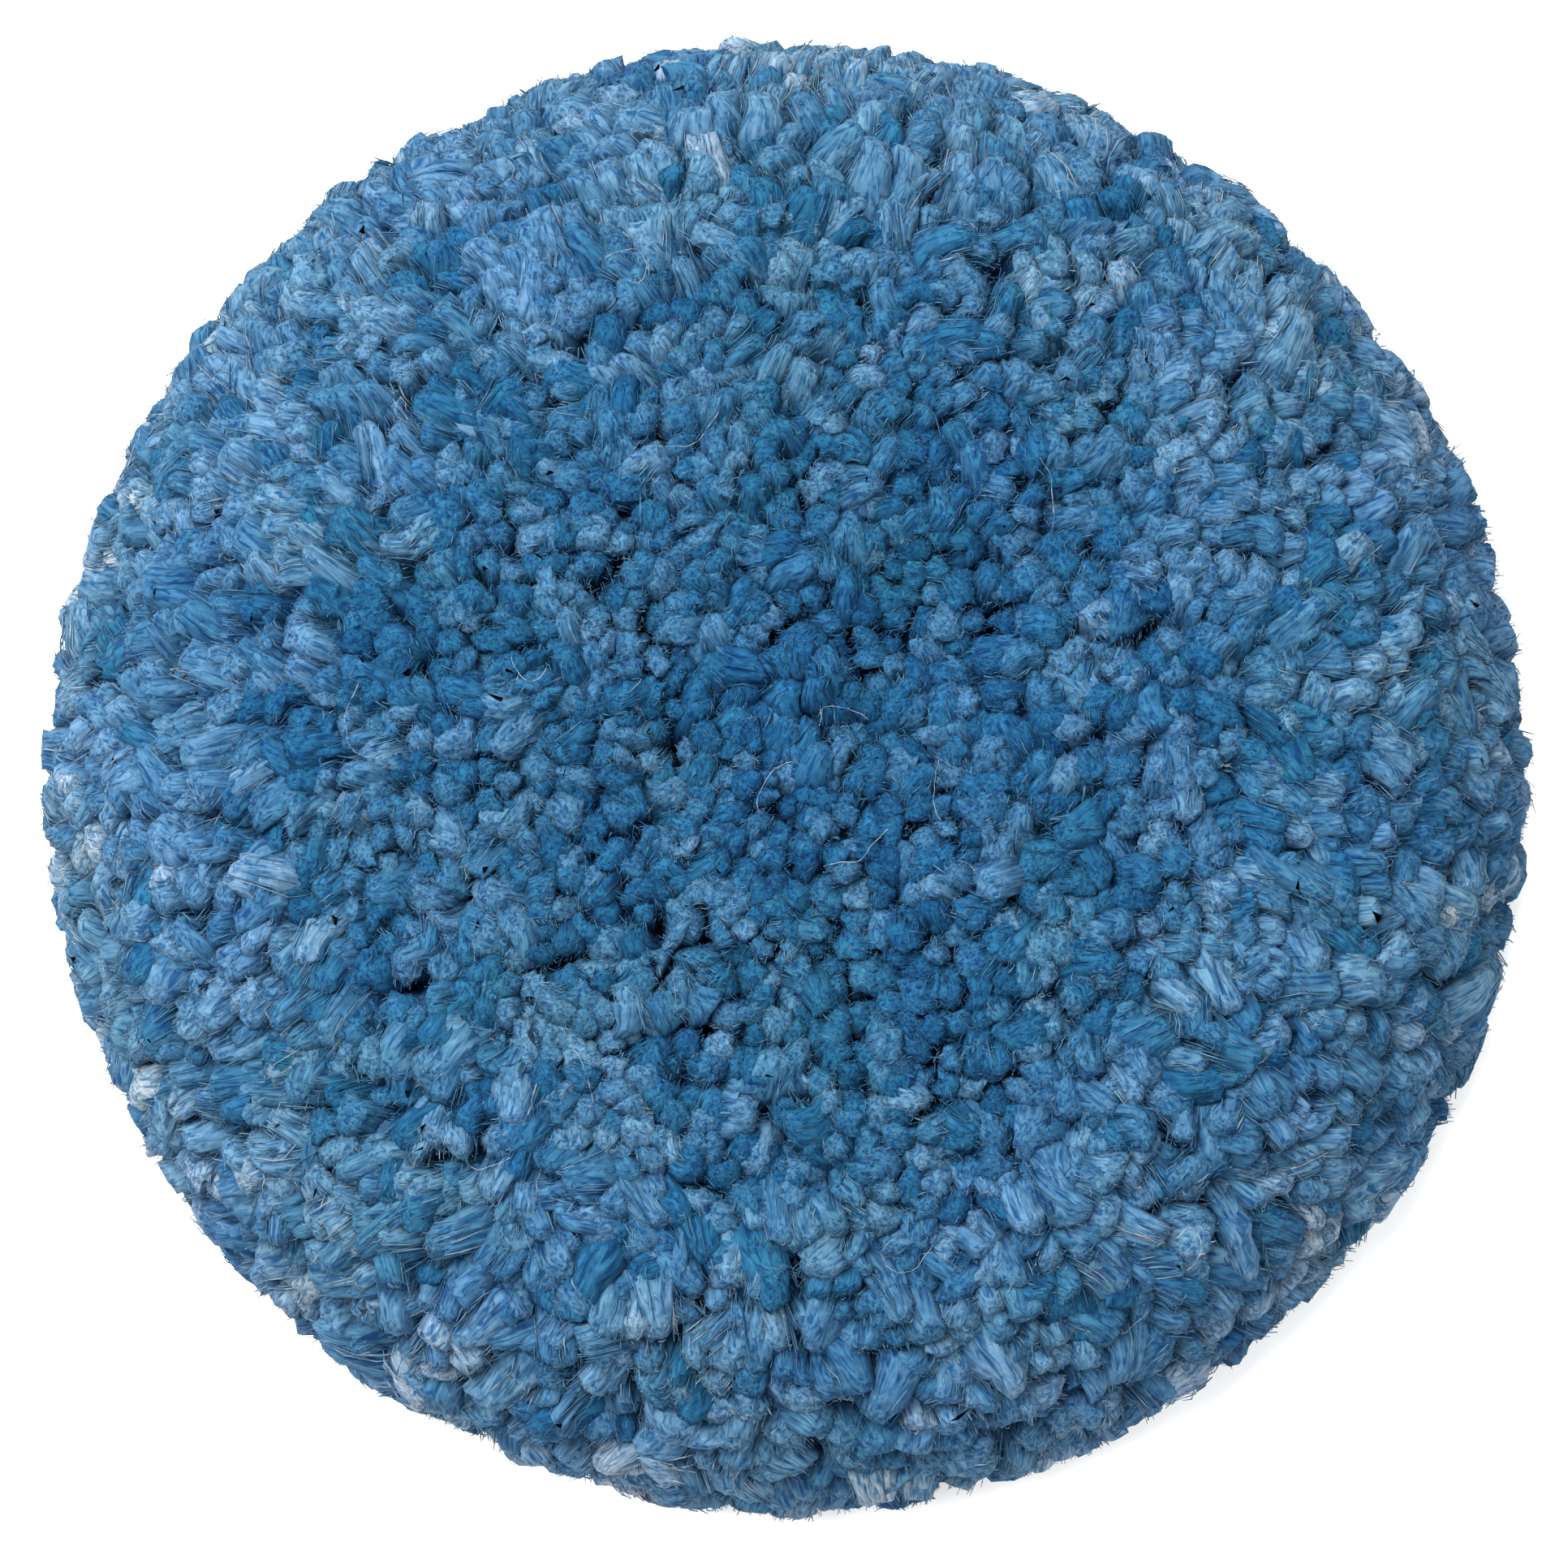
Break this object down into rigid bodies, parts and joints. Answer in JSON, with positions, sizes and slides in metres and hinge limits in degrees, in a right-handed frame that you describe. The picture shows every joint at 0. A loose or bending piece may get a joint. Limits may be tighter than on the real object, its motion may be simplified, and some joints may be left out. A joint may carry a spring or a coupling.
{
  "type": "polishing pad",
  "caption": "Round blended-wool polishing pad with a dense cut pile, a rolled rim and a recessed brushed-loop back with a centring hole, for a rotary polisher.",
  "frame": {"origin": "middle of the brushed-loop face on the back, where the centring hole opens", "axes": "+Z along the spin axis, from the loop face towards the working face of the pile; the pad is round, so +X and +Y only have to be square to it"},
  "size_m": [0.1903, 0.1904, 0.0377],
  "materials": {
    "blended_wool": "matte",
    "loop_fabric": "matte",
    "adhesive": "gloss",
    "stiffener_plastic": "satin",
    "foam": "matte",
    "latex": "satin",
    "backing_cloth": "matte",
    "binding_tape": "matte",
    "thread": "satin"
  },
  "bodies": {
    "root": {"loop_disc": "loop_fabric", "adhesive_film": "adhesive", "stiffener_disc": "stiffener_plastic", "foam_cushion": "foam", "latex_coat": "latex", "backing_cloth": "backing_cloth", "edge_binding": "binding_tape", "edge_seam": "thread", "loop_seam": "thread", "tuft_row_01": "blended_wool", "tuft_row_02": "blended_wool", "tuft_row_03": "blended_wool", "tuft_row_04": "blended_wool", "tuft_row_05": "blended_wool", "tuft_row_06": "blended_wool", "tuft_row_07": "blended_wool", "tuft_row_08": "blended_wool", "tuft_row_09": "blended_wool", "tuft_row_10": "blended_wool", "tuft_row_11": "blended_wool", "tuft_row_12": "blended_wool", "tuft_row_13": "blended_wool", "tuft_row_14": "blended_wool", "tuft_row_15": "blended_wool", "tuft_row_16": "blended_wool", "tuft_row_17": "blended_wool", "tuft_row_18": "blended_wool"}
  },
  "joints": []
}
